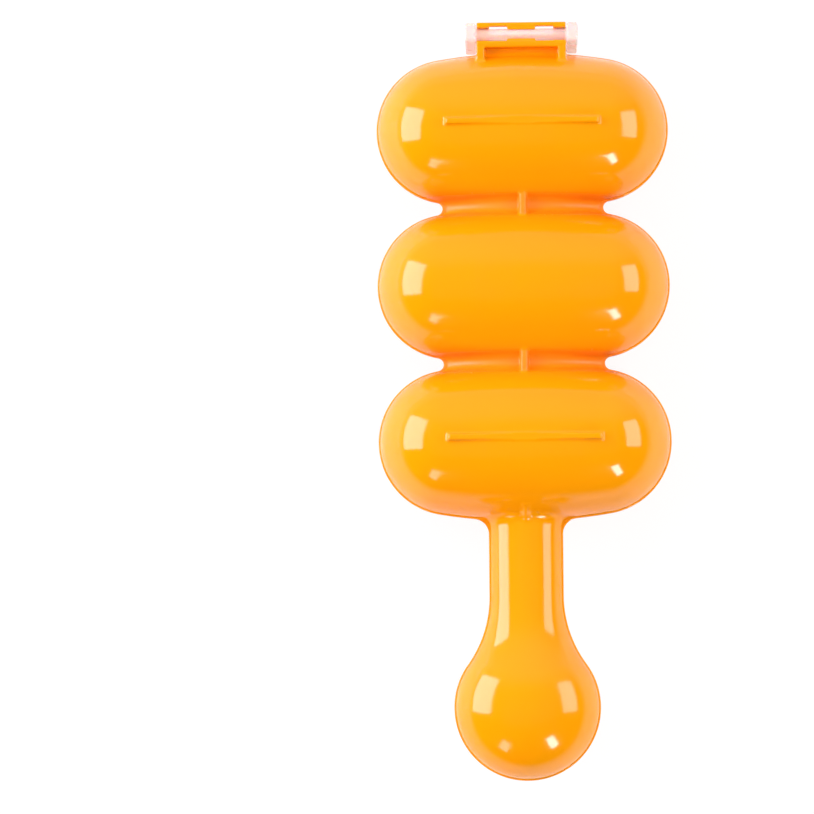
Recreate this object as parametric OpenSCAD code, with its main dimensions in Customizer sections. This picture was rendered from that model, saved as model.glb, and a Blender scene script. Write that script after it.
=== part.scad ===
// Hinged rice mold: two identical shell halves with three barrel cavities
// and a hollow handle, joined by a snap-in hinge link.
// Lies on its lower half: +Z up, +Y towards the hinge, +X to the right.

/* [Lobes] */
// Length of one lobe, across the mold
lobe_len = 93.2; // [80:0.2:110]
// Thickness of a lobe at its middle
lobe_dia = 50; // [48:0.2:54]
// Radius of a lobe's round ends
lobe_end_r = 23; // [20:0.5:23.5]
// Distance from one lobe's centre line to the next
lobe_pitch = 50.4; // [49:0.2:52]
// Number of lobes
lobe_count = 3; // [2:1:4]

/* [Shell] */
// Wall thickness of the shell
wall = 1.8; // [1.4:0.1:2.4]
// How far the rim stands out past the shell
rim_lip = 0.4; // [0.3:0.1:1]
// Thickness of the rim on each half
rim_t = 1.2; // [0.8:0.1:2]

/* [Necks between lobes] */
// Width of a neck at the rim
neck_w = 52; // [46:0.5:54]
// Height of a neck above the rim, at its middle
neck_h = 9.6; // [9:0.2:12]
// Radius of the rounding at the bottom of each notch in the outline
notch_r = 2.2; // [1.8:0.1:2.5]

/* [Handle] */
// Width of the handle's tube
tube_dia = 23; // [20:0.2:28]
// Width of the ball at the handle's end
ball_dia = 46; // [40:0.5:52]
// Distance from the last lobe's centre line to the ball's centre
ball_reach = 85; // [80:1:100]
// Radius of the flare from tube to ball
flare_r = 37.7; // [25:0.1:40]
// Radius of the rim's rounding where the tube meets the lobe
root_r = 5; // [3:0.5:7]
// Thickness of the handle as a share of its width
handle_flat = 0.75; // [0.6:0.01:1]

/* [Ribs] */
// Length of the long ribs on the first and last lobe
foot_len = 49; // [30:0.2:54]
// Width of the long ribs
foot_w = 2; // [1.5:0.1:3]
// Height of the long ribs above the middle of a lobe
foot_proud = 0.3; // [0.2:0.1:1]
// Corner radius of the long ribs
foot_r = 1; // [0.5:0.1:1.4]
// Width of the short ribs in the valleys
web_w = 2.3; // [1.5:0.1:3]
// Height of the short ribs above the rim
web_h = 13; // [12.2:0.1:17]
// Height of the short rib at the handle above the rim
root_web_h = 14; // [12:0.2:18]
// Length of the short rib that runs out on the handle
web_run = 5; // [3:0.5:8]

/* [Hinge bracket] */
// Width of the bracket
bracket_w = 28.6; // [24:0.2:34]
// Height of the bracket above the rim
bracket_h = 13; // [12.8:0.1:15]
// How far the bracket's wall stands out past the rim
bracket_out = 2.2; // [1:0.1:3]
// Thickness of the wall under the rod
bracket_wall = 2.2; // [1.8:0.1:3]
// Thickness of the two side gussets
gusset_t = 2.5; // [2:0.1:3.5]
// Width of the two hooks that hold the rod's ends
hook_w = 4.1; // [3:0.1:6]
// Thickness of the hooks behind the rod
hook_back = 2.4; // [1.8:0.1:3]
// Thickness of the bar beyond the rod
bar_t = 1.7; // [1.4:0.1:2.4]
// Depth of the bar between the hooks
bar_depth = 2.6; // [2:0.1:4]
// Relief under the bar beside the snap lips
bar_relief = 0.5; // [0.2:0.1:0.8]
// Length of the snap lips along the rod
snap_len = 9; // [5:0.5:12]
// Width of the mouth between the snap lips
snap_mouth = 2.9; // [2.6:0.1:3.6]

/* [Hinge link] */
// Diameter of the link's rods
rod_dia = 4; // [3.6:0.1:4.4]
// Distance of a rod's axis from the rim's plane
rod_depth = 10.3; // [10:0.1:10.8]
// Radial clearance of a rod in its channel
rod_clear = 0.05; // [0.02:0.01:0.1]
// Thickness of the link's side arms
arm_t = 3.5; // [2.5:0.1:5]
// Clearance between a side arm and the bracket
arm_clear = 0.3; // [0.2:0.05:0.6]
// How far an arm reaches from the rod's axis towards the rim
arm_in = 2.6; // [2.3:0.05:2.6]
// How far an arm reaches from the rod's axis away from the rim
arm_out = 3.7; // [2.6:0.1:4.5]
// How far an arm reaches past a rod's axis along its length
arm_end = 3; // [2.6:0.1:4]
// Corner radius of the arms
arm_r = 1.6; // [0.5:0.1:2.2]

/* [Hidden] */
$fn = 128;
shell_color = [1.0, 0.66, 0.05];
link_color = [0.98, 0.86, 0.82];

lobe_r = lobe_dia / 2;
tube_r = tube_dia / 2;
ball_r = ball_dia / 2;
rod_r = rod_dia / 2;

// Barrel outline: end arcs centred at +-end_x, belly arcs of belly_r centred belly_off
// across the axis and tangent to them.
end_x = lobe_len / 2 - lobe_end_r;
belly_r = (pow(end_x, 2) + pow(lobe_r, 2) - pow(lobe_end_r, 2)) / (2 * (lobe_r - lobe_end_r));
belly_off = belly_r - lobe_r;
belly_angle = atan2(end_x, belly_off);
arc_fn = 720;

// Places along Y, counted from the middle of the row of lobes.
last_y = -(lobe_count - 1) / 2 * lobe_pitch;
first_y = -last_y;
ball_y = last_y - ball_reach;
hollow_flat = (handle_flat * ball_r - wall) / (ball_r - wall);
flare_y = ball_y + sqrt(pow(ball_r + flare_r, 2) - pow(tube_r + flare_r, 2));

// The rod lies against the outside of the bracket's wall.
channel_r = rod_r + rod_clear;
bracket_y = first_y + lobe_r + rim_lip + bracket_out;
rod_y = bracket_y + channel_r;
bracket_end = rod_y + channel_r + bar_t;

// Height of the rim's plane, and the shift that centres the part on the origin.
rim_z = lobe_r + foot_proud;
y_max = max(bracket_end, rod_y + arm_out);
y_min = ball_y - ball_r - rim_lip;
y_shift = -(y_max + y_min) / 2;

// Centre of the rounding in a notch, which touches a belly arc or, further out, an end arc.
notch_grow = rim_lip + notch_r;
belly_rise = belly_off + lobe_pitch / 2;
belly_notch_x = sqrt(max(0, pow(belly_r + notch_grow, 2) - pow(belly_rise, 2)));
notch_on_belly = atan2(belly_notch_x, belly_rise) < belly_angle;
notch_arc = notch_on_belly ? [0, belly_rise] : [end_x, lobe_pitch / 2];
notch_span = (notch_on_belly ? belly_r : lobe_end_r) + notch_grow;
notch_c = [notch_arc.x + sqrt(pow(notch_span, 2) - pow(notch_arc.y, 2)), 0];

// Centre of the rounding where the rim turns from the tube to the last lobe.
root_grow = rim_lip + root_r;
root_span = belly_r + root_grow;
root_arc = [0, last_y + belly_off];
root_c = [tube_r + root_grow, root_arc.y - sqrt(pow(root_span, 2) - pow(tube_r + root_grow, 2))];

// Arc that rounds the top of a neck, through both of its feet.
neck_r = (pow(neck_w / 2, 2) + pow(neck_h, 2)) / (2 * neck_h);
neck_len = lobe_pitch / 2;

// Arcs that touch overlap by this much, so that they meet in a clean edge.
bite = 0.01;
slack = 1;
far = 400;

// Turns a profile about X, or about Y, into a solid above the rim's plane.
module turn_about_x() rotate([90, 0, 90]) rotate_extrude(angle = 180) children();
module turn_about_y() rotate([-90, 0, 0]) rotate(180) rotate_extrude(angle = 180) children();

module right_side() intersection() {
    children();
    translate([0, -far]) square([far, 2 * far]);
}

// Barrel outline grown by a margin, its long side along Y.
module barrel_outline(grow) {
    side = lobe_r + grow + slack;
    spread = end_x + side * tan(belly_angle);
    intersection() {
        translate([belly_off, 0]) circle(belly_r + grow, $fn = arc_fn);
        translate([-belly_off, 0]) circle(belly_r + grow, $fn = arc_fn);
        polygon([
            [0, end_x], [side, spread], [side, -spread],
            [0, -end_x], [-side, -spread], [-side, spread]
        ]);
    }
    for (s = [-1, 1]) translate([0, s * end_x]) circle(lobe_end_r + grow + bite);
}

module at_each_lobe() for (i = [0 : lobe_count - 1]) translate([0, last_y + i * lobe_pitch]) children();
module at_each_neck() for (i = [1 : lobe_count - 1]) translate([0, last_y + (i - 0.5) * lobe_pitch]) children();

module lobes(grow) at_each_lobe() turn_about_x() right_side() barrel_outline(grow);

// Right side of the handle's outline, from the ball up into the last lobe.
module handle_outline(grow) right_side() {
    translate([0, ball_y]) circle(ball_r + grow);
    translate([0, flare_y]) square([tube_r + grow, last_y - lobe_r / 2 - flare_y]);
    difference() {
        polygon([[0, ball_y], [tube_r + flare_r, flare_y], [0, flare_y]]);
        translate([tube_r + flare_r, flare_y]) circle(flare_r - grow + bite, $fn = arc_fn);
    }
}

// Half of the handle: its outline turned about Y and flattened.
module handle(grow, flat) scale([1, 1, flat]) turn_about_y() handle_outline(grow);

// Filling between two lobes, rounded off at the notch.
module notch_fill() difference() {
    touch = notch_c + (notch_arc - notch_c) * (notch_r + slack) / notch_span;
    polygon([[0, slack], touch, notch_c, [touch.x, -touch.y], [0, -slack]]);
    translate(notch_c) circle(notch_r + bite);
}

// Filling between the last lobe and the tube, rounded off at the root.
module root_fill() difference() {
    touch = root_c + (root_arc - root_c) * (root_r + slack) / root_span;
    polygon([[0, root_c.y], root_c, touch, [0, last_y]]);
    translate(root_c) circle(root_r + bite);
}

module rim_outline() {
    at_each_lobe() rotate(90) barrel_outline(rim_lip);
    for (s = [0, 1]) mirror([s, 0]) {
        handle_outline(rim_lip);
        at_each_neck() notch_fill();
        root_fill();
    }
}

module neck() translate([0, neck_len / 2]) rotate([90, 0, 0]) linear_extrude(neck_len)
    intersection() {
        translate([0, neck_h - neck_r]) circle(neck_r, $fn = arc_fn);
        translate([-neck_w / 2, 0]) square([neck_w, neck_h]);
    }

// Long rib on which the closed mold lies, with rounded ends.
module foot() translate([0, foot_w / 2]) rotate([90, 0, 0]) linear_extrude(foot_w) {
    end = foot_len / 2;
    translate([-end, 0]) square([foot_len, rim_z - foot_r]);
    translate([foot_r - end, 0]) square([foot_len - 2 * foot_r, rim_z]);
    for (s = [-1, 1]) translate([s * (end - foot_r), rim_z - foot_r]) circle(foot_r);
}

// Short rib across a valley between two lobes.
module web() translate([-web_w / 2, -lobe_pitch / 4]) cube([web_w, lobe_pitch / 2, web_h]);

// Short rib that slopes from the last lobe down onto the tube.
module root_web() {
    start = sqrt(pow(lobe_r, 2) - pow(root_web_h, 2));
    translate([-web_w / 2, last_y]) rotate([90, 0, 90]) linear_extrude(web_w)
        polygon([[-lobe_r / 2, 0], [-lobe_r / 2, root_web_h], [-start, root_web_h],
                 [-start - web_run, handle_flat * tube_r - bite], [-start - web_run, 0]]);
}

module rod(r, len) translate([-len / 2, rod_y, rod_depth]) rotate([0, 90, 0]) cylinder(r = r, h = len);

// Box centred across the mold, between two places along Y and two heights above the rim.
module slab(w, y, z) translate([-w / 2, y[0], z[0]]) cube([w, y[1] - y[0], z[1] - z[0]]);

module bracket() {
    hook_z = [rod_depth - channel_r - hook_back, bracket_h];
    window_w = bracket_w - 2 * hook_w;
    channel_end = rod_y + channel_r;
    difference() {
        union() {
            slab(bracket_w, [first_y + lobe_r / 2, bracket_y], [0, bracket_h]);
            slab(bracket_w, [bracket_y, bracket_end], hook_z);
        }
        slab(bracket_w - 2 * gusset_t, [first_y, bracket_y - bracket_wall], [0, far]);
        slab(window_w, [bracket_y, channel_end + bar_relief], [0, far]);
        slab(window_w, [bracket_y, far], [0, bracket_h - bar_depth]);
        rod(channel_r, bracket_w + 2 * slack);
        slab(bracket_w + 2 * slack, [bracket_y, channel_end], [rod_depth, far]);
    }
    difference() {
        slab(snap_len, [bracket_y - bracket_wall / 2, channel_end + bar_t / 2],
             [bracket_h - bar_depth, bracket_h]);
        slab(snap_len + slack, [rod_y - snap_mouth / 2, rod_y + snap_mouth / 2], [0, far]);
        rod(channel_r, snap_len + 2 * slack);
    }
}

// One molding, its rim in the plane z = 0 and its shell above it.
module mold_half() difference() {
    union() {
        lobes(0);
        at_each_neck() neck();
        handle(0, handle_flat);
        linear_extrude(rim_t) rim_outline();
        for (y = [last_y, first_y]) translate([0, y]) foot();
        at_each_neck() web();
        root_web();
        bracket();
    }
    lobes(-wall);
    difference() {
        handle(-wall, hollow_flat);
        translate([0, last_y]) turn_about_x() right_side() barrel_outline(0);
    }
}

module top_mold_half() color(shell_color) translate([0, y_shift, rim_z]) mold_half();

// The same molding turned over.
module bottom_mold_half() color(shell_color) translate([0, y_shift, rim_z]) rotate([0, 180, 0]) mold_half();

// Side arm with rounded corners, from one rod past the other.
module arm() rotate([90, 0, 90]) linear_extrude(arm_t) {
    y = [rod_y - arm_in, rod_y + arm_out];
    z = rod_depth + arm_end;
    translate([y[0] + arm_r, -z]) square([y[1] - y[0] - 2 * arm_r, 2 * z]);
    translate([y[0], arm_r - z]) square([y[1] - y[0], 2 * (z - arm_r)]);
    for (c = [y[0] + arm_r, y[1] - arm_r], s = [-1, 1]) translate([c, s * (z - arm_r)]) circle(arm_r);
}

module hinge_link() color(link_color) translate([0, y_shift, rim_z]) {
    inside = bracket_w / 2 + arm_clear;
    for (s = [0, 1]) {
        mirror([s, 0, 0]) translate([inside, 0, 0]) arm();
        mirror([0, 0, s]) rod(rod_r, 2 * inside + arm_t);
    }
}

bottom_mold_half();
top_mold_half();
hinge_link();
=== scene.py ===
import math
import bmesh
import bpy
import numpy as np
from mathutils import Matrix, Vector
from mathutils.geometry import delaunay_2d_cdt


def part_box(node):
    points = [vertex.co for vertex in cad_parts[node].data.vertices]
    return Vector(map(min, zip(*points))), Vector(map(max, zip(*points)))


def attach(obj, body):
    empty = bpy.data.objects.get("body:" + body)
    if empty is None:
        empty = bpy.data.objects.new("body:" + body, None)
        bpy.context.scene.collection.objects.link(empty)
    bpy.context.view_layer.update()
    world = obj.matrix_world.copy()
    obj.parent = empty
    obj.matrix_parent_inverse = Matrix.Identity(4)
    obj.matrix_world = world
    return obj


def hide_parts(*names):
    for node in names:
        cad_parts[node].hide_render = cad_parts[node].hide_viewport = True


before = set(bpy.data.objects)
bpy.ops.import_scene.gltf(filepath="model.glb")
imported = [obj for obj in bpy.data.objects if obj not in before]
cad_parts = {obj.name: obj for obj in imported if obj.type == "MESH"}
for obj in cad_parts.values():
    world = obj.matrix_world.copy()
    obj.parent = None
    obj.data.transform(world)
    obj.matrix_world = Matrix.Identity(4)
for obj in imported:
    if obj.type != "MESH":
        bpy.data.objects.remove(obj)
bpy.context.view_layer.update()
print("frame loaded")

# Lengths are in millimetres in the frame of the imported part, and heights z inside a half
# are counted from the rim's plane.
mm = 0.001
halfLow, halfHigh = (np.array(corner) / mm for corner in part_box("top_mold_half"))
linkLow, linkHigh = (np.array(corner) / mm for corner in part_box("hinge_link"))
rimZ = halfLow[2]

shell = {
    "wall": 1.8,
    "lip": 0.4,
    "rimThickness": 1.2,
    "rimRounding": 0.25,
    "footProud": 0.3,
    "lobePitch": 50.4,
    "lobeCount": 3,
    "endRadius": 23.0,
    "neckWidth": 52.0,
    "neckHeight": 9.6,
    "tubeRadius": 11.5,
    "ballRadius": 23.0,
    "ballReach": 85.0,
    "flareRadius": 37.7,
    "neckFillet": 2.2,
    "handleFillet": 3.5,
    "handleFlat": 0.75,
    "notchRadius": 2.2,
    "rootRadius": 5.0,
    "rows": 560,
    "columns": 92,
    "bowlRows": 84,
    "bowlColumns": 44,
    "hollowRows": 110,
    "tubeRings": 12,
    "capRings": 12,
    "rimSteps": 4,
    "fineRows": 24000,
    "arcPoints": 400,
    "raySquash": 0.72,
    "planStep": 0.01,
    "lipSearch": 6,
}
bisections = 44  # halvings of a span of places, down to rounding error

# A lobe's outline is a barrel: end arcs centred at endX, and belly arcs tangent to them
# whose centre lies bellyOff across the axis.
lobeRadius = halfHigh[2] - rimZ - shell["footProud"]
endX = halfHigh[0] - shell["lip"] - shell["endRadius"]
bellyRadius = (endX**2 + lobeRadius**2 - shell["endRadius"]**2) / (2 * (lobeRadius - shell["endRadius"]))
bellyOff = bellyRadius - lobeRadius
footTop = lobeRadius + shell["footProud"]
ballY = halfLow[1] + shell["lip"] + shell["ballRadius"]
lobeYs = ballY + shell["ballReach"] + shell["lobePitch"] * np.arange(shell["lobeCount"])
lastY, firstY = lobeYs[0], lobeYs[-1]
neckYs = (lobeYs[1:] + lobeYs[:-1]) / 2
flareX = shell["tubeRadius"] + shell["flareRadius"]
flareY = ballY + math.sqrt((shell["ballRadius"] + shell["flareRadius"])**2 - flareX**2)
ballInside = shell["ballRadius"] - shell["wall"]
hollowFlat = (shell["handleFlat"] * shell["ballRadius"] - shell["wall"]) / ballInside


def smoothUnion(a, b, reach):
    # Where two distances differ by less than the reach, a fillet joins their surfaces.
    share = np.clip(0.5 + 0.5 * (b - a) / reach, 0, 1)
    return b + (a - b) * share - reach * share * (1 - share)


def lobeDistance(x, y, z, centreY):
    # Distance to a barrel turned about X: an end sphere, or a belly arc swept round the axis.
    across = np.hypot(y - centreY, z)
    along = np.abs(x)
    end = np.hypot(along - endX, across) - shell["endRadius"]
    belly = np.hypot(along, across + bellyOff) - bellyRadius
    return np.where(along * bellyOff > endX * (across + bellyOff), end, belly)


def neckDistance(x, y, z, centreY):
    # Distance to a round-topped bridge between two lobes, an arc in XZ pushed along Y.
    height = shell["neckHeight"]
    radius = ((shell["neckWidth"] / 2)**2 + height**2) / (2 * height)
    arc = np.hypot(x, z - height + radius) - radius
    return np.maximum(arc, np.abs(y - centreY) - lobeRadius / 2)


def handleDistance(x, y, z):
    # Distance to ball, flare and tube, turned about Y and flattened, the flare arc being
    # tangent to both.
    out = np.hypot(x, z / shell["handleFlat"])
    ball = np.hypot(out, y - ballY) - shell["ballRadius"]
    flare = shell["flareRadius"] - np.hypot(out - flareX, y - flareY)
    tube = np.maximum(out - shell["tubeRadius"], y - (lastY - lobeRadius / 3))
    inFlare = (y - ballY) * flareX > out * (flareY - ballY)
    return np.where(y > flareY, tube, np.where(inFlare, flare, ball))


def skinDistance(x, y, z):
    # Distance to the whole outside above the rim, with fillets in the valleys and at the root.
    body = lobeDistance(x, y, z, lobeYs[0])
    for centreY in lobeYs[1:]:
        body = np.minimum(body, lobeDistance(x, y, z, centreY))
    for centreY in neckYs:
        body = smoothUnion(body, neckDistance(x, y, z, centreY), shell["neckFillet"])
    return smoothUnion(body, handleDistance(x, y, z), shell["handleFillet"])


def solveOutward(distance, low, high):
    # Bisection for the place where the distance turns from inside to outside.
    for step in range(bisections):
        middle = (low + high) / 2
        inside = distance(middle) < 0
        low, high = np.where(inside, middle, low), np.where(inside, high, middle)
    return (low + high) / 2


# The fillets of the rim's outline are circles outside it: one in the mouth of each valley,
# and one each side of the handle's root, tangent to the handle and to the last lobe.
notchX = endX + math.sqrt(
    (shell["endRadius"] + shell["lip"] + shell["notchRadius"])**2 - (shell["lobePitch"] / 2)**2)
rootX = shell["tubeRadius"] + shell["lip"] + shell["rootRadius"]
rootY = float(solveOutward(
    lambda y: shell["lip"] + shell["rootRadius"] - lobeDistance(rootX, y, 0, lastY),
    np.array(lastY - 2 * lobeRadius), np.array(lastY)))


def planDistance(x, y):
    # Distance to the outline of lobes and handle in plan, counting its fillets in.
    across = np.abs(x)
    flat = handleDistance(x, y, 0)
    for centreY in lobeYs:
        flat = np.minimum(flat, lobeDistance(x, y, 0, centreY))
    for centreY in neckYs:
        notch = shell["lip"] + shell["notchRadius"] - np.hypot(across - notchX, y - centreY)
        near = (across < notchX) & (np.abs(y - centreY) < lobeRadius / 2)
        flat = np.where(near, np.minimum(flat, notch), flat)
    root = shell["lip"] + shell["rootRadius"] - np.hypot(across - rootX, y - rootY)
    side = rootX * (y - rootY) > (rootX - across) * (lastY + bellyOff - rootY)
    near = (y > rootY) & (y < lastY) & (across < rootX) & ~side
    return np.where(near, np.minimum(flat, root), flat)


def gridFaces(rows, columns):
    # Four-sided faces between neighbouring rows and columns of a grid.
    first = (np.arange(rows - 1)[:, None] * columns + np.arange(columns - 1)[None, :]).ravel()
    return np.stack([first, first + 1, first + columns + 1, first + columns], axis=1)


def addPart(parts, points, faces):
    # Faces count their corners from the first point of the whole list of parts.
    start = sum(len(part[0]) for part in parts)
    parts.append((points, faces + start))


def addGrid(parts, points):
    addPart(parts, points.reshape(-1, 3), gridFaces(*points.shape[:2]))


def evenPlaces(along, out, count):
    # Points at even steps of length along a curve.
    length = np.concatenate([[0], np.cumsum(np.hypot(np.diff(along), np.diff(out)))])
    even = np.linspace(0, length[-1], count)
    return np.interp(even, length, along), np.interp(even, length, out)


def edgeLoop(points):
    # The grid's first and last columns joined to one loop in plan.
    return np.concatenate([points[:, 0, :2], points[-2:0:-1, -1, :2]])


def evenRows(y, crest, side, count):
    # Places along Y at even steps of the crest's and the outline's length taken together.
    steps = np.hypot(np.diff(y), np.diff(crest)) + np.hypot(np.diff(y), np.diff(side))
    length = np.concatenate([[0], np.cumsum(steps)])
    return np.interp(np.linspace(0, length[-1], count), length, y)


def outerSkin(parts):
    # The skin above the rim: each row is a cut across Y, solved along rays from the rim's top.
    height = shell["rimThickness"]
    reach = 2 * endX + shell["endRadius"]
    poleGap = 1 - math.sqrt(1 - (height / lobeRadius)**2)
    low = ballY - math.sqrt(shell["ballRadius"]**2 - (height / shell["handleFlat"])**2)
    high = firstY + lobeRadius * (1 - poleGap)
    wave = (1 - np.cos(np.linspace(0, math.pi, shell["fineRows"]))) / 2
    fine = low + (high - low) * wave
    crest = solveOutward(lambda r: skinDistance(0, fine, r), 0 * fine, 0 * fine + reach)
    side = solveOutward(lambda r: skinDistance(r, fine, height), 0 * fine, 0 * fine + reach)
    y = evenRows(fine, crest, side, shell["rows"])[:, None]
    turn = np.linspace(0, math.pi, shell["columns"])[None, :]
    rayX, rayZ = np.cos(turn), shell["raySquash"] * np.sin(turn)
    size = np.hypot(rayX, rayZ)
    rayX, rayZ = rayX / size, rayZ / size
    start = 0 * y * turn
    ray = solveOutward(
        lambda r: skinDistance(r * rayX, y, height + r * rayZ), start, start + reach)
    ray[[0, -1]] = 0
    points = np.stack([ray * rayX, y + 0 * ray, height + ray * rayZ], axis=2)
    addGrid(parts, points)
    edges = [rimStrip(parts, points[:, column]) for column in (0, -1)]
    return np.concatenate([edges[0], edges[1][::-1]])


def rimStrip(parts, foot):
    # The lip: from the skin's foot outwards along the plan's gradient, round the edge and
    # down to the rim's plane.
    step = shell["planStep"]
    x, y = foot[:, 0], foot[:, 1]
    slopeX = planDistance(x + step, y) - planDistance(x - step, y)
    slopeY = planDistance(x, y + step) - planDistance(x, y - step)
    slopeX[[0, -1]] = 0
    size = np.hypot(slopeX, slopeY)
    outX, outY = slopeX / size, slopeY / size
    edge = solveOutward(
        lambda r: planDistance(x + r * outX, y + r * outY) - shell["lip"],
        0 * x, 0 * x + shell["lipSearch"])
    rounding = shell["rimRounding"]
    turn = np.linspace(0, math.pi / 2, shell["rimSteps"])
    back = np.concatenate([rounding * (1 - np.sin(turn)), rounding * (1 - np.cos(turn))])
    height = np.concatenate([
        shell["rimThickness"] - rounding * (1 - np.cos(turn)), rounding * (1 - np.sin(turn))])
    out = edge[:, None] - back[None, :]
    strip = np.stack([
        x[:, None] + out * outX[:, None], y[:, None] + out * outY[:, None],
        np.broadcast_to(height, out.shape)], axis=2)
    points = np.concatenate([foot[:, None, :], strip], axis=1)
    addGrid(parts, points)
    return points[:, -1, :2]


def ovalProfile(count, grow):
    # Half of the barrel's outline from tip to tip, as places along X and radii, evenly spaced.
    turn = math.atan2(endX, bellyOff)
    end, belly = shell["endRadius"] + grow, bellyRadius + grow
    endArc = np.linspace(0, math.pi / 2 - turn, shell["arcPoints"])
    bellyArc = np.linspace(turn, 0, shell["arcPoints"])
    along = np.concatenate([endX + end * np.cos(endArc), belly * np.sin(bellyArc)])
    out = np.concatenate([end * np.sin(endArc), belly * np.cos(bellyArc) - bellyOff])
    along, out = np.concatenate([along, -along[-2::-1]]), np.concatenate([out, out[-2::-1]])
    return evenPlaces(along, out, count)


def cavity(parts, centreY):
    # One lobe's inside: the outline drawn in by the wall and turned about X.
    along, out = ovalProfile(shell["bowlRows"], -shell["wall"])
    out[[0, -1]] = 0
    turn = np.linspace(0, math.pi, shell["bowlColumns"])
    points = np.stack([
        np.broadcast_to(along[:, None], (len(along), len(turn))),
        centreY + out[:, None] * np.cos(turn), out[:, None] * np.sin(turn)], axis=2)
    addGrid(parts, points)
    return edgeLoop(points)


def handleHollow(parts):
    # The handle's inside, shaped like its outside and closed off by the last lobe's skin.
    radius = shell["tubeRadius"] - shell["wall"]
    flare = shell["flareRadius"] + shell["wall"]
    tilt = math.atan2(flareY - ballY, flareX)
    ballTurn = np.linspace(-math.pi / 2, tilt, shell["arcPoints"])
    flareTurn = np.linspace(math.pi + tilt, math.pi, shell["arcPoints"])
    out = np.concatenate([ballInside * np.cos(ballTurn), flareX + flare * np.cos(flareTurn)])
    along = np.concatenate([
        ballY + ballInside * np.sin(ballTurn), flareY + flare * np.sin(flareTurn)])
    along, out = evenPlaces(along, out, shell["hollowRows"])
    out[0] = 0
    turn = np.linspace(0, math.pi, shell["bowlColumns"])
    cosine, sine = np.cos(turn)[None, :], hollowFlat * np.sin(turn)[None, :]
    capRadius = np.linspace(radius, 0, shell["capRings"])[:, None]
    capX, capZ = capRadius * cosine, capRadius * sine
    bellyAt = np.sqrt(bellyRadius**2 - capX**2) - bellyOff
    capY = lastY - np.sqrt(bellyAt**2 - capZ**2)
    share = np.linspace(0, 1, shell["tubeRings"] + 2)[1:-1, None]
    tubeY = flareY + (capY[:1] - flareY) * share
    points = np.concatenate([
        np.stack([out[:, None] * cosine, along[:, None] + 0 * cosine, out[:, None] * sine], axis=2),
        np.stack([radius * cosine + 0 * share, tubeY, radius * sine + 0 * share], axis=2),
        np.stack([capX, capY, capZ], axis=2)])
    addGrid(parts, points)
    return edgeLoop(points)


def fillFace(parts, loops):
    # The rim's flat face: a triangulation of all its corners, kept where there is wall and
    # where no side leaves the outline.
    sameCorner, meshTolerance = 1e-5, 1e-6
    corners, edges = [], []
    for loop in loops:
        keep = np.hypot(*(loop - np.roll(loop, 1, axis=0)).T) > sameCorner
        first, count = len(corners), keep.sum()
        corners += loop[keep].tolist()
        edges += [(first + k, first + (k + 1) % count) for k in range(count)]
    made = delaunay_2d_cdt(
        [Vector(corner) for corner in corners], edges, [], 0, meshTolerance)
    flat = np.array([(corner.x, corner.y, 0) for corner in made[0]])
    faces = np.array(made[2])
    x, y = flat[faces].mean(axis=1)[:, :2].T
    sideX, sideY = (flat[faces] + flat[np.roll(faces, 1, axis=1)])[:, :, :2].T / 2
    inLobe = [lobeDistance(x, y, 0, centreY) for centreY in lobeYs]
    hollow = np.min(inLobe, axis=0) < -shell["wall"]
    hollow |= (handleDistance(x, y, 0) < -shell["wall"]) & (inLobe[0] > 0)
    wall = (planDistance(x, y) < shell["lip"] - shell["rimRounding"]) & ~hollow
    wall &= planDistance(sideX, sideY).max(axis=0) < shell["lip"]
    addPart(parts, flat, faces[wall])


def makePiece(name, points, faces, body, node):
    # A smooth piece in place of a node, from points in millimetres.
    mesh = bpy.data.meshes.new(name)
    mesh.from_pydata((points * mm).tolist(), [], faces)
    mesh.polygons.foreach_set("use_smooth", np.ones(len(mesh.polygons), bool))
    piece = bpy.data.objects.new(name, mesh)
    bpy.context.scene.collection.objects.link(piece)
    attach(piece, body)
    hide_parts(node)
    return piece


# In metres: points nearer than this join, and edges shorter than this go. The angle in degrees
# is where a corner stays sharp.
seam = {"together": 2e-7, "sliver": 1e-7, "sharpAngle": 40}


def closeSeams(piece):
    # Points that lie together become one, faces point outwards, and sharp corners stay sharp.
    mesh = piece.data
    work = bmesh.new()
    work.from_mesh(mesh)
    bmesh.ops.remove_doubles(work, verts=work.verts, dist=seam["together"])
    bmesh.ops.dissolve_degenerate(work, edges=work.edges, dist=seam["sliver"])
    bmesh.ops.recalc_face_normals(work, faces=work.faces)
    openEdges = sum(not edge.is_manifold for edge in work.edges)
    work.to_mesh(mesh)
    work.free()
    mesh.polygons.foreach_set("use_smooth", np.ones(len(mesh.polygons), bool))
    mesh.set_sharp_from_angle(angle=math.radians(seam["sharpAngle"]))
    print(piece.name, len(mesh.polygons), "faces,", openEdges, "open edges")


# The lower half is the same molding turned half round the Y axis.
sides = {"top": np.array([1, 1, 1]), "bottom": np.array([-1, 1, -1])}
rimCentre = np.array([0, 0, rimZ])
parts = []
outline = outerSkin(parts)
holes = [cavity(parts, centreY) for centreY in lobeYs] + [handleHollow(parts)]
fillFace(parts, [outline] + holes)
shellPoints = np.concatenate([points for points, faces in parts])
shellFaces = [face for points, faces in parts for face in faces.tolist()]
orangePieces = []
for half, side in sides.items():
    made = makePiece(
        half + "_shell", shellPoints * side + rimCentre, shellFaces, half, half + "_mold_half")
    closeSeams(made)
    orangePieces.append(made)
print("shells made")


def slabDistance(x, y, z, lows, highs, rounding=0.0):
    # Distance to a box with rounded edges, given by its low and high places along each axis.
    outs = [
        np.abs(c - (a + b) / 2) - (b - a) / 2 + rounding
        for c, a, b in zip((x, y, z), lows, highs)]
    apart = np.sqrt(sum(np.maximum(out, 0)**2 for out in outs))
    return apart + np.minimum(np.maximum(np.maximum(outs[0], outs[1]), outs[2]), 0) - rounding


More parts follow.
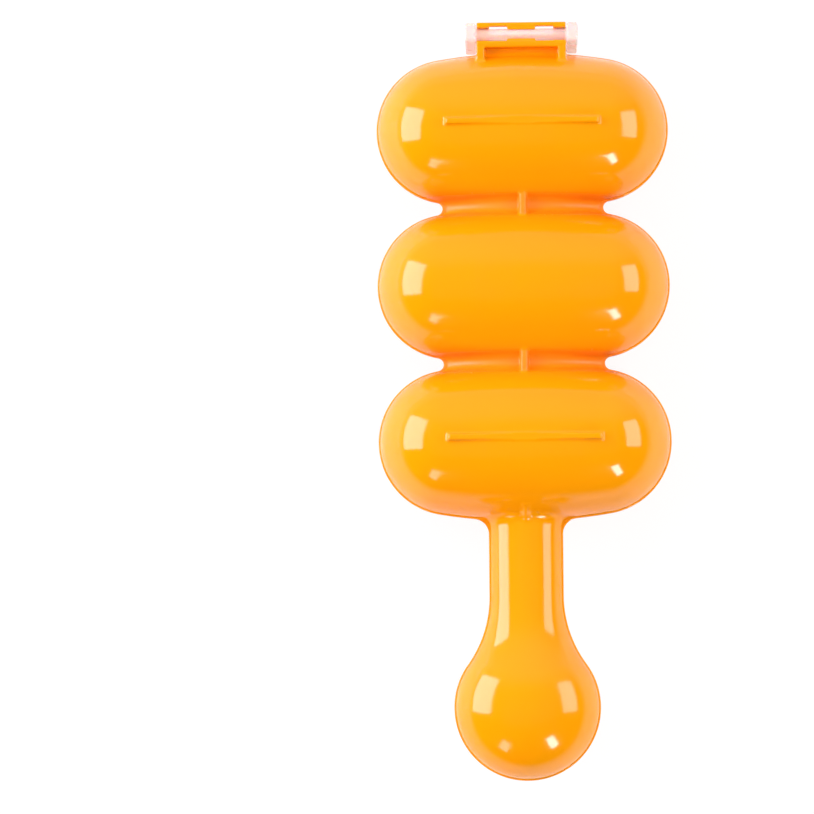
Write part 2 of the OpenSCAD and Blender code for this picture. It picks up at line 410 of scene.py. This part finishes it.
def roundedCorner(a, b):
    # Distance to the corner where two flat sides meet, counted round it outside.
    return np.hypot(np.maximum(a, 0), np.maximum(b, 0)) + np.minimum(np.maximum(a, b), 0)


def smoothCut(a, b, reach):
    # What is in a and not in b, with the edge between them rounded.
    return -smoothUnion(-a, b, reach)


def shellDistance(x, y, z):
    # Distance to the outside of the shell and its lip, standing on the rim's plane.
    lip = np.maximum(planDistance(x, y) - shell["lip"], z - shell["rimThickness"])
    return np.maximum(np.minimum(skinDistance(x, y, z), lip), -z)


# How a surface is meshed from its distance: rounds of pulling a point onto it, how far the
# point may leave its cell, the step that a slope is taken over, the least squared slope that is
# counted on, and how far a dressing has to stand off the shell to be kept.
net = {"pulls": 8, "slack": 0.2, "slopeStep": 0.004, "flattest": 0.1, "standOff": 0.008}


def slopes(distance, points):
    # The distance's gradient at each point, by differences.
    step, found = net["slopeStep"], []
    for axis in np.eye(3) * step:
        found.append(distance(*(points + axis).T) - distance(*(points - axis).T))
    return np.stack(found, axis=1) / (2 * step)


def unitLength(vectors):
    return vectors / np.linalg.norm(vectors, axis=1)[:, None]


def netSurface(distance, low, high, cell):
    # One point for each cell of a grid that the surface crosses, pulled onto the surface,
    # and one face for each edge of the grid that it crosses.
    axes = [np.arange(a, b + cell, cell) for a, b in zip(low, high)]
    values = distance(*np.meshgrid(*axes, indexing="ij"))
    inside = values < 0
    shape = tuple(np.array(values.shape) - 1)
    corners = [
        inside[i:shape[0] + i, j:shape[1] + j, k:shape[2] + k] for i, j, k in np.ndindex(2, 2, 2)]
    count = np.sum(corners, axis=0)
    mixed = (count > 0) & (count < 8)
    number = np.full(shape, -1)
    number[mixed] = np.arange(mixed.sum())
    base = np.stack([axis[place] for axis, place in zip(axes, np.nonzero(mixed))], axis=1)
    points = base + cell / 2
    for step in range(net["pulls"]):
        slope = slopes(distance, points)
        size = np.maximum(np.sum(slope**2, axis=1), net["flattest"])
        points = points - (distance(*points.T) / size)[:, None] * slope
        points = np.clip(points, base - net["slack"] * cell, base + (1 + net["slack"]) * cell)
    faces = []
    for axis in range(3):
        one, two = [other for other in range(3) if other != axis]
        here, there = [slice(1, -1)] * 3, [slice(1, -1)] * 3
        here[axis], there[axis] = slice(0, -1), slice(1, None)
        here, there = inside[tuple(here)], inside[tuple(there)]
        crossed = np.stack(np.nonzero(here != there), axis=1)
        outward = here[here != there] ^ (axis == 1)
        crossed[:, one] += 1
        crossed[:, two] += 1
        ring = []
        for back in ((0, 0), (1, 0), (1, 1), (0, 1)):
            cellAt = crossed.copy()
            cellAt[:, one] -= back[0]
            cellAt[:, two] -= back[1]
            ring.append(number[tuple(cellAt.T)])
        ring = np.stack(ring, axis=1)
        faces.append(np.where(outward[:, None], ring, ring[:, ::-1]))
    return points, np.concatenate(faces)


def dressing(form, low, high, cell, reach):
    # The surface of a form blended onto the shell, kept where it stands off the shell's own.
    def blended(x, y, z):
        both = smoothUnion(shellDistance(x, y, z), form(x, y, z), reach)
        return np.maximum(both, np.maximum(z - footTop, -z))
    points, faces = netSurface(blended, low, high, cell)
    proud = shellDistance(*points.T) > net["standOff"]
    faces = faces[proud[faces].any(axis=1)]
    used, faces = np.unique(faces, return_inverse=True)
    normal = slopes(blended, points[used])
    return points[used], faces.reshape(-1, 4), unitLength(normal)


rib = {
    "footLength": 49.0,
    "footWidth": 2.0,
    "footRadius": 1.0,
    "webWidth": 2.3,
    "webHeight": 13.0,
    "rootWebHeight": 14.0,
    "webRun": 5.0,
    "webTail": 1,
    "rounding": 0.3,
    "webRounding": 0.8,
    "fillet": 1.0,
    "cell": 0.32,
}


def footDistance(x, y, z, centreY):
    # A flat plate with rounded ends, standing along the lobe's crest.
    radius = rib["footRadius"]
    outX = np.abs(x) - rib["footLength"] / 2 + radius
    outZ = z - footTop + radius
    width = np.abs(y - centreY) - rib["footWidth"] / 2
    return smoothCut(roundedCorner(outX, outZ) - radius, -width, 2 * rib["rounding"])


def webDistance(x, y, z, centreY):
    # A plate along the valley, with rounded edges, whose ends run into both lobes.
    half = rib["webWidth"] / 2
    run = shell["lobePitch"] / 4
    return slabDistance(
        x, y, z, (-half, centreY - run, 0), (half, centreY + run, rib["webHeight"]),
        rib["webRounding"])


def rootWebDistance(x, y, z):
    # A plate at the handle's root whose top slopes from the last lobe down onto the tube.
    top = rib["rootWebHeight"]
    start = math.sqrt(lobeRadius**2 - top**2)
    drop = top - shell["handleFlat"] * shell["tubeRadius"]
    slope = math.hypot(drop, rib["webRun"])
    ramp = ((z - top) * rib["webRun"] - (y - lastY + start) * drop) / slope
    width = np.abs(x) - rib["webWidth"] / 2
    plate = smoothCut(np.maximum(ramp, z - top), -width, 2 * rib["webRounding"])
    end = lastY - start - rib["webRun"] - rib["webTail"]
    return np.maximum(np.maximum(plate, y - lastY), end - y)


bracket = {
    "width": 28.6,
    "height": 13.0,
    "wall": 2.2,
    "out": 2.2,
    "gusset": 2.5,
    "hookWidth": 4.1,
    "hookBack": 2.4,
    "bar": 1.7,
    "barDepth": 2.6,
    "barRelief": 0.5,
    "foot": -2,
    "pocketFloor": 9.2,
    "snapLength": 9.0,
    "snapMouth": 2.9,
    "channelRadius": 2.05,
    "rodDepth": 10.3,
    "hooksIn": 1.5,
    "rounding": 0.3,
    "hookRounding": 0.4,
    "pocketRounding": 0.5,
    "lipRounding": 0.2,
    "lipDrop": 0.15,
    "hookFillet": 0.5,
    "fillet": 1.1,
    "cell": 0.3,
    "boxSide": 2.5,
    "boxIn": 2,
    "boxOut": 0.6,
    "boxAbove": 3,
}
farOut = 999  # where a cut that is open on one side ends, past everything
wallY = firstY + lobeRadius + shell["lip"] + bracket["out"]
rodY = wallY + bracket["channelRadius"]


def bracketDistance(x, y, z):
    # The wall with its hooks, less the pocket, the window, the rod's channel and the way in.
    half, height, soft = bracket["width"] / 2, bracket["height"], 2 * bracket["rounding"]
    radius, depth = bracket["channelRadius"], bracket["rodDepth"]
    channelEnd, end = rodY + radius, rodY + radius + bracket["bar"]
    window = half - bracket["hookWidth"]
    body = slabDistance(
        x, y, z, (-half, firstY + lobeRadius / 2, bracket["foot"]), (half, wallY, height),
        bracket["rounding"])
    hooks = slabDistance(
        x, y, z, (-half, wallY - bracket["hooksIn"], depth - radius - bracket["hookBack"]),
        (half, end, height), bracket["hookRounding"])
    body = smoothUnion(body, hooks, bracket["hookFillet"])
    pocket = half - bracket["gusset"]
    hollow = slabDistance(
        x, y, z, (-pocket, firstY, bracket["pocketFloor"]),
        (pocket, wallY - bracket["wall"], farOut), bracket["pocketRounding"])
    body = smoothCut(body, hollow, soft)
    channel = np.hypot(y - rodY, z - depth) - radius
    wayIn = slabDistance(x, y, z, (-farOut, wallY, depth), (farOut, channelEnd, farOut))
    body = smoothCut(body, np.minimum(channel, wayIn), soft)
    openingEnd, below = channelEnd + bracket["barRelief"], height - bracket["barDepth"]
    opening = slabDistance(x, y, z, (-window, wallY, -farOut), (window, openingEnd, farOut))
    body = smoothCut(body, opening, soft)
    underBar = slabDistance(x, y, z, (-window, wallY, -farOut), (window, farOut, below))
    body = smoothCut(body, underBar, soft)
    snap, mouth = bracket["snapLength"] / 2, bracket["snapMouth"] / 2
    lips = slabDistance(
        x, y, z, (-snap, wallY - bracket["wall"] / 2, below),
        (snap, channelEnd + bracket["bar"] / 2, height - bracket["lipDrop"]),
        bracket["lipRounding"])
    gap = slabDistance(x, y, z, (-farOut, rodY - mouth, -farOut), (farOut, rodY + mouth, farOut))
    lips = smoothCut(lips, gap, bracket["hookRounding"])
    lips = smoothCut(lips, channel, bracket["hookRounding"])
    return smoothUnion(body, lips, bracket["hookFillet"])


def addDressing(name, patches):
    # One piece for each half, from patches made in the upper half's place.
    points = np.concatenate([patch[0] for patch in patches])
    normals = np.concatenate([patch[2] for patch in patches])
    faces, start = [], 0
    for patch in patches:
        faces.append(patch[1] + start)
        start += len(patch[0])
    faces = np.concatenate(faces).tolist()
    for half, side in sides.items():
        made = makePiece(
            half + "_" + name, points * side + rimCentre, faces, half, half + "_mold_half")
        made.data.normals_split_custom_set_from_vertices((normals * side).tolist())
        orangePieces.append(made)
    print(name, len(faces), "faces each")


# The boxes that the ribs are meshed in, a few millimetres larger than their forms.
ribBox = {
    "beside": 4,
    "footAcross": 2,
    "footBelow": 7,
    "footAbove": 0.6,
    "webReach": 15,
    "webLow": 8,
    "webAbove": 3,
    "rootFrom": 31,
    "rootTo": 15,
    "rootLow": 7,
    "rootHigh": 17,
}
beside = ribBox["beside"]
footEnd, footSide = rib["footLength"] / 2 + beside, rib["footWidth"] + ribBox["footAcross"]
patches = [
    dressing(
        lambda x, y, z: footDistance(x, y, z, centreY),
        (-footEnd, centreY - footSide, lobeRadius - ribBox["footBelow"]),
        (footEnd, centreY + footSide, footTop + ribBox["footAbove"]), rib["cell"], rib["fillet"])
    for centreY in (lastY, firstY)]
patches += [
    dressing(
        lambda x, y, z: webDistance(x, y, z, centreY),
        (-beside, centreY - ribBox["webReach"], ribBox["webLow"]),
        (beside, centreY + ribBox["webReach"], rib["webHeight"] + ribBox["webAbove"]),
        rib["cell"], rib["fillet"])
    for centreY in neckYs]
patches.append(dressing(
    rootWebDistance, (-beside, lastY - ribBox["rootFrom"], ribBox["rootLow"]),
    (beside, lastY - ribBox["rootTo"], ribBox["rootHigh"]), rib["cell"], rib["fillet"]))
addDressing("ribs", patches)

boxSide, boxOut = bracket["width"] / 2 + bracket["boxSide"], bracket["boxOut"]
addDressing("bracket", [dressing(
    bracketDistance, (-boxSide, firstY + lobeRadius / 2 - bracket["boxIn"], -boxOut),
    (boxSide, halfHigh[1] + boxOut, bracket["height"] + bracket["boxAbove"]),
    bracket["cell"], bracket["fillet"])])

link = {
    "rodRadius": 2.0,
    "armThickness": 3.5,
    "armIn": 2.6,
    "armOut": 3.7,
    "armEnd": 3.0,
    "armRadius": 1.6,
    "rounding": 0.45,
    "fillet": 0.7,
    "cell": 0.3,
    "margin": 0.6,
}


def linkDistance(x, y, z):
    # Two rods across, joined by a plate with rounded corners at each side.
    depth, outer = bracket["rodDepth"], linkHigh[0]
    rods = np.hypot(y - rodY, np.abs(z) - depth) - link["rodRadius"]
    rods = np.maximum(rods, np.abs(x) - outer + link["armThickness"] / 2)
    low, high, tall = rodY - link["armIn"], rodY + link["armOut"], depth + link["armEnd"]
    outY = np.abs(y - (low + high) / 2) - (high - low) / 2 + link["armRadius"]
    outZ = np.abs(z) - tall + link["armRadius"]
    plate = roundedCorner(outY, outZ) - link["armRadius"]
    thick = np.abs(np.abs(x) - outer + link["armThickness"] / 2) - link["armThickness"] / 2
    arms = smoothCut(plate, -thick, 2 * link["rounding"])
    return smoothUnion(arms, rods, link["fillet"])


points, faces = netSurface(
    linkDistance, linkLow - rimCentre - link["margin"], linkHigh - rimCentre + link["margin"],
    link["cell"])
linkPiece = makePiece(
    "link", points + rimCentre, faces.tolist(), "link", "hinge_link")
linkPiece.data.normals_split_custom_set_from_vertices(
    unitLength(slopes(linkDistance, points)).tolist())
print("link made,", len(faces), "faces")

plastic = {
    "colour": (0.97, 0.37, 0.002, 1),
    "darker": (0.95, 0.34, 0.001, 1),
    "roughness": 0.11,
    "uneven": 0.03,
    "ior": 1.5,
    "patchScale": 35,
    "peelScale": 900,
    "peelDepth": 0.02,
    "peelStrength": 0.1,
    "scratchScale": (900, 35, 300),
    "scratchTurns": (25, -50),
    "scratchLow": 0.69,
    "scratchHigh": 0.76,
    "scratchRoughness": 0.09,
    "valleyOuter": 4.4,
    "valleyInner": 2.6,
    "valleyRoughness": 0.3,
    # painted shade: the deeper orange that the valleys are coloured, standing in for their shadow
    "valleyShadeColour": (0.95, 0.29, 0.001, 1),
}

# Noise lies mostly between these two values.
noiseLow, noiseHigh = 0.3, 0.7


def addNode(tree, kind, values=(), **settings):
    # One node, with its settings and the values of its sockets.
    node = tree.nodes.new(kind)
    for name, value in settings.items():
        setattr(node, name, value)
    for name, value in dict(values).items():
        node.inputs[name].default_value = value
    return node


def unevenRoughness(tree, noise, finish):
    # Roughness that goes up and down with a noise.
    rough = addNode(tree, "ShaderNodeMapRange", {
        "From Min": noiseLow, "From Max": noiseHigh,
        "To Min": finish["roughness"] - finish["uneven"],
        "To Max": finish["roughness"] + finish["uneven"]})
    tree.links.new(noise.outputs["Fac"], rough.inputs["Value"])
    return rough.outputs["Result"]


def orangeMaterial():
    # Glossy molded plastic: faint patches of colour and gloss, a fine orange-peel bump and
    # hairline scratches from use, which are streaks of noise drawn out along one direction.
    # The polish ends in the valleys, where a triangle wave along Y, held at the outer lobes' middles, is
    # near nought. The same mask also darkens the base colour there to a deeper orange, which is painted
    # shade for the valleys' shadow.
    material = bpy.data.materials.new("orange_polypropylene")
    material.use_nodes = True
    tree = material.node_tree
    shader = tree.nodes["Principled BSDF"]
    shader.inputs["IOR"].default_value = plastic["ior"]
    place = addNode(tree, "ShaderNodeTexCoord")
    patch = addNode(tree, "ShaderNodeTexNoise", {"Scale": plastic["patchScale"], "Detail": 3})
    tree.links.new(place.outputs["Object"], patch.inputs["Vector"])
    mix = addNode(tree, "ShaderNodeMix", data_type="RGBA")
    mix.inputs[6].default_value, mix.inputs[7].default_value = plastic["colour"], plastic["darker"]
    tree.links.new(patch.outputs["Fac"], mix.inputs["Factor"])
    level = unevenRoughness(tree, patch, plastic)
    for turn in plastic["scratchTurns"]:
        along = addNode(tree, "ShaderNodeMapping", {
            "Rotation": (0, 0, math.radians(turn)), "Scale": plastic["scratchScale"]})
        streak = addNode(tree, "ShaderNodeTexNoise", {"Scale": 1, "Detail": 1})
        line = addNode(tree, "ShaderNodeMapRange", {
            "From Min": plastic["scratchLow"], "From Max": plastic["scratchHigh"],
            "To Max": plastic["scratchRoughness"]})
        total = addNode(tree, "ShaderNodeMath", operation="ADD")
        tree.links.new(place.outputs["Object"], along.inputs["Vector"])
        tree.links.new(along.outputs["Vector"], streak.inputs["Vector"])
        tree.links.new(streak.outputs["Fac"], line.inputs["Value"])
        tree.links.new(level, total.inputs[0])
        tree.links.new(line.outputs["Result"], total.inputs[1])
        level = total.outputs["Value"]
    split = addNode(tree, "ShaderNodeSeparateXYZ")
    tree.links.new(place.outputs["Object"], split.inputs["Vector"])
    held = addNode(tree, "ShaderNodeClamp", {"Min": lastY * mm, "Max": firstY * mm})
    tree.links.new(split.outputs["Y"], held.inputs["Value"])
    centred = addNode(tree, "ShaderNodeMath", operation="SUBTRACT")
    centred.inputs[1].default_value = neckYs[0] * mm
    tree.links.new(held.outputs["Result"], centred.inputs[0])
    wave = addNode(tree, "ShaderNodeMath", operation="PINGPONG")
    wave.inputs[1].default_value = shell["lobePitch"] / 2 * mm
    tree.links.new(centred.outputs["Value"], wave.inputs[0])
    # one mask for two things: the valleys' duller finish, and painted shade in the valleys' colour
    dullAndShade = addNode(tree, "ShaderNodeMapRange", {
        "From Min": plastic["valleyOuter"] * mm, "From Max": plastic["valleyInner"] * mm})
    tree.links.new(wave.outputs["Value"], dullAndShade.inputs["Value"])
    total = addNode(tree, "ShaderNodeMath", operation="MULTIPLY_ADD")
    total.inputs[1].default_value = plastic["valleyRoughness"]
    tree.links.new(dullAndShade.outputs["Result"], total.inputs[0])
    tree.links.new(level, total.inputs[2])
    # Painted shade: the base colour is mixed towards a deeper orange in the valleys, where they lie in
    # shadow
    valleyShade = addNode(tree, "ShaderNodeMix", data_type="RGBA")
    valleyShade.inputs[7].default_value = plastic["valleyShadeColour"]
    tree.links.new(mix.outputs[2], valleyShade.inputs[6])
    tree.links.new(dullAndShade.outputs["Result"], valleyShade.inputs["Factor"])
    tree.links.new(valleyShade.outputs[2], shader.inputs["Base Color"])
    tree.links.new(total.outputs["Value"], shader.inputs["Roughness"])
    peel = addNode(tree, "ShaderNodeTexNoise", {"Scale": plastic["peelScale"], "Detail": 2})
    tree.links.new(place.outputs["Object"], peel.inputs["Vector"])
    bump = addNode(tree, "ShaderNodeBump", {
        "Strength": plastic["peelStrength"], "Distance": plastic["peelDepth"] * mm})
    tree.links.new(peel.outputs["Fac"], bump.inputs["Height"])
    tree.links.new(bump.outputs["Normal"], shader.inputs["Normal"])
    return material


milk = {
    "colour": (0.97, 0.78, 0.70, 1),
    "cloudy": (0.98, 0.83, 0.77, 1),
    "cloudScale": 160,
    "alpha": 0.5,
    "roughness": 0.30,
    "uneven": 0.05,
    "ior": 1.49,
    "scatter": 0.6,
    "scatterDepth": 1.5,
}


def milkyMaterial():
    # Milky plastic: part of the light passes straight on, the rest is scattered under the skin.
    material = bpy.data.materials.new("milky_polypropylene")
    material.use_nodes = True
    tree = material.node_tree
    shader = tree.nodes["Principled BSDF"]
    shader.inputs["Alpha"].default_value = milk["alpha"]
    shader.inputs["IOR"].default_value = milk["ior"]
    shader.inputs["Subsurface Weight"].default_value = milk["scatter"]
    shader.inputs["Subsurface Scale"].default_value = milk["scatterDepth"] * mm
    place = addNode(tree, "ShaderNodeTexCoord")
    cloud = addNode(tree, "ShaderNodeTexNoise", {"Scale": milk["cloudScale"], "Detail": 3})
    tree.links.new(place.outputs["Object"], cloud.inputs["Vector"])
    mix = addNode(tree, "ShaderNodeMix", data_type="RGBA")
    mix.inputs[6].default_value, mix.inputs[7].default_value = milk["colour"], milk["cloudy"]
    tree.links.new(cloud.outputs["Fac"], mix.inputs["Factor"])
    tree.links.new(mix.outputs[2], shader.inputs["Base Color"])
    tree.links.new(unevenRoughness(tree, cloud, milk), shader.inputs["Roughness"])
    return material


orange = orangeMaterial()
for piece in orangePieces:
    piece.data.materials.append(orange)
linkPiece.data.materials.append(milkyMaterial())
print("materials made")

# The camera stands where the photograph's did, and its frame is turned a little.
photo = {
    "cameraAt": (-1.4, -123.5, 1453.3),
    "aimAt": (-37.86, -1.18, 25.3),
    "roll": -0.43,
    "lens": 197.16,
    "sensor": 36,
    "farthest": 20,
}
camera = bpy.data.objects.new("camera", bpy.data.cameras.new("camera"))
bpy.context.scene.collection.objects.link(camera)
camera.data.lens, camera.data.sensor_width = photo["lens"], photo["sensor"]
camera.data.clip_end = photo["farthest"]
cameraAt, aimAt = Vector(photo["cameraAt"]) * mm, Vector(photo["aimAt"]) * mm
back = (cameraAt - aimAt).normalized()
right = Vector((0, 1, 0)).cross(back).normalized()
turned = Matrix((right, back.cross(right), back)).transposed()
turned = turned @ Matrix.Rotation(math.radians(photo["roll"]), 3, "Z")
camera.matrix_world = Matrix.Translation(cameraAt) @ turned.to_4x4()
bpy.context.scene.camera = camera
bpy.context.scene.view_settings.view_transform = "Standard"

# Each light: the direction towards it, its distance, its size across and up, its power,
# its colour and whether its reflection shows.
warm, rosy = (1.0, 0.93, 0.95), (1.0, 0.82, 0.95)
studio = {
    "left_softbox": ((-0.86, 0.19, 0.45), 1100, (860, 708), 15.2, rosy, True),
    "right_softbox": ((0.80, 0.13, 0.55), 1100, (700, 490), 5.7, warm, True),
    "low_lamp": ((0.465, -0.75, 0.53), 1200, (190, 380), 4.0, warm, True),
    "dim_lamp": ((-0.435, -0.80, 0.47), 1200, (210, 330), 1.2, warm, True),
    "fill": ((0.0, 0.15, 1.0), 1800, (2400, 2400), 20.0, warm, False),
}
for name, (direction, distance, size, power, colour, shows) in studio.items():
    lamp = bpy.data.lights.new(name, "AREA")
    lamp.shape, lamp.size, lamp.size_y = "RECTANGLE", size[0] * mm, size[1] * mm
    lamp.energy, lamp.color = power, colour
    light = bpy.data.objects.new(name, lamp)
    bpy.context.scene.collection.objects.link(light)
    light.location = Vector(direction).normalized() * distance * mm
    light.rotation_euler = Vector(direction).to_track_quat("Z", "Y").to_euler()
    light.visible_glossy = shows

# The surroundings: white below the horizon, dark overhead and towards the handle, and a soft
# pale wall behind the hinge that fades in towards the horizon. The camera sees plain white.
tent = {
    "horizon": (1.0, 0.98, 0.95, 1),
    "above": (0.008, 0.008, 0.008, 1),
    "wall": (0.62, 0.60, 0.56, 1),
    "edgeLow": -0.02,
    "edgeHigh": 0.14,
    "edgeTilt": 0.10,
    "wallLow": 0.30,
    "wallHigh": 0.80,
    "strength": 0.9,
}
world = bpy.data.worlds.new("tent")
bpy.context.scene.world = world
world.use_nodes = True
tree = world.node_tree
sky = tree.nodes["Background"]
direction = addNode(tree, "ShaderNodeTexCoord")
split = addNode(tree, "ShaderNodeSeparateXYZ")
tree.links.new(direction.outputs["Generated"], split.inputs["Vector"])
above = addNode(tree, "ShaderNodeMapRange", {
    "From Min": tent["wallLow"], "From Max": tent["wallHigh"]})
above.interpolation_type = "SMOOTHSTEP"
tree.links.new(split.outputs["Y"], above.inputs["Value"])
wall = addNode(tree, "ShaderNodeMix", data_type="RGBA")
wall.inputs[6].default_value, wall.inputs[7].default_value = tent["above"], tent["wall"]
tree.links.new(above.outputs["Result"], wall.inputs["Factor"])
tilted = addNode(tree, "ShaderNodeMath", operation="MULTIPLY_ADD")
tilted.inputs[1].default_value = -tent["edgeTilt"]
tree.links.new(split.outputs["Y"], tilted.inputs[0])
tree.links.new(split.outputs["Z"], tilted.inputs[2])
height = addNode(tree, "ShaderNodeMapRange", {
    "From Min": tent["edgeLow"], "From Max": tent["edgeHigh"]})
tree.links.new(tilted.outputs["Value"], height.inputs["Value"])
shade = addNode(tree, "ShaderNodeMix", data_type="RGBA")
shade.inputs[6].default_value = tent["horizon"]
tree.links.new(wall.outputs[2], shade.inputs[7])
tree.links.new(height.outputs["Result"], shade.inputs["Factor"])
seen = addNode(tree, "ShaderNodeMix", data_type="RGBA")
rays = addNode(tree, "ShaderNodeLightPath")
seen.inputs[7].default_value = (1 / tent["strength"],) * 3 + (1,)
tree.links.new(rays.outputs["Is Camera Ray"], seen.inputs["Factor"])
tree.links.new(shade.outputs[2], seen.inputs[6])
tree.links.new(seen.outputs[2], sky.inputs["Color"])
sky.inputs["Strength"].default_value = tent["strength"]

# The table ends a little beyond the handle, outside the photograph's frame. The camera sees
# most of it as plain white, and the rest as paper that holds the object's shadow.
table = {
    "side": 3.0,
    "front": -0.36,
    "back": 3.0,
    "top": -0.0002,
    "paper": (0.9, 0.9, 0.9, 1),
    "roughness": 0.8,
    "white": 1.04,
    "whiteShare": 0.86,
}
floorMesh = bpy.data.meshes.new("floor")
corners = [
    (x, y, table["top"]) for x in (-table["side"], table["side"])
    for y in (table["front"], table["back"])]
floorMesh.from_pydata(corners, [], [(0, 2, 3, 1)])
floor = bpy.data.objects.new("floor", floorMesh)
bpy.context.scene.collection.objects.link(floor)
paper = bpy.data.materials.new("paper")
paper.use_nodes = True
tree = paper.node_tree
shader, output = tree.nodes["Principled BSDF"], tree.nodes["Material Output"]
shader.inputs["Base Color"].default_value = table["paper"]
shader.inputs["Roughness"].default_value = table["roughness"]
white = addNode(tree, "ShaderNodeEmission", {"Strength": table["white"]})
rays = addNode(tree, "ShaderNodeLightPath")
most = addNode(tree, "ShaderNodeMath", operation="MULTIPLY")
most.inputs[1].default_value = table["whiteShare"]
seen = addNode(tree, "ShaderNodeMixShader")
tree.links.new(rays.outputs["Is Camera Ray"], most.inputs[0])
tree.links.new(most.outputs[0], seen.inputs[0])
tree.links.new(shader.outputs[0], seen.inputs[1])
tree.links.new(white.outputs[0], seen.inputs[2])
tree.links.new(seen.outputs[0], output.inputs["Surface"])
floorMesh.materials.append(paper)
print("stage made")
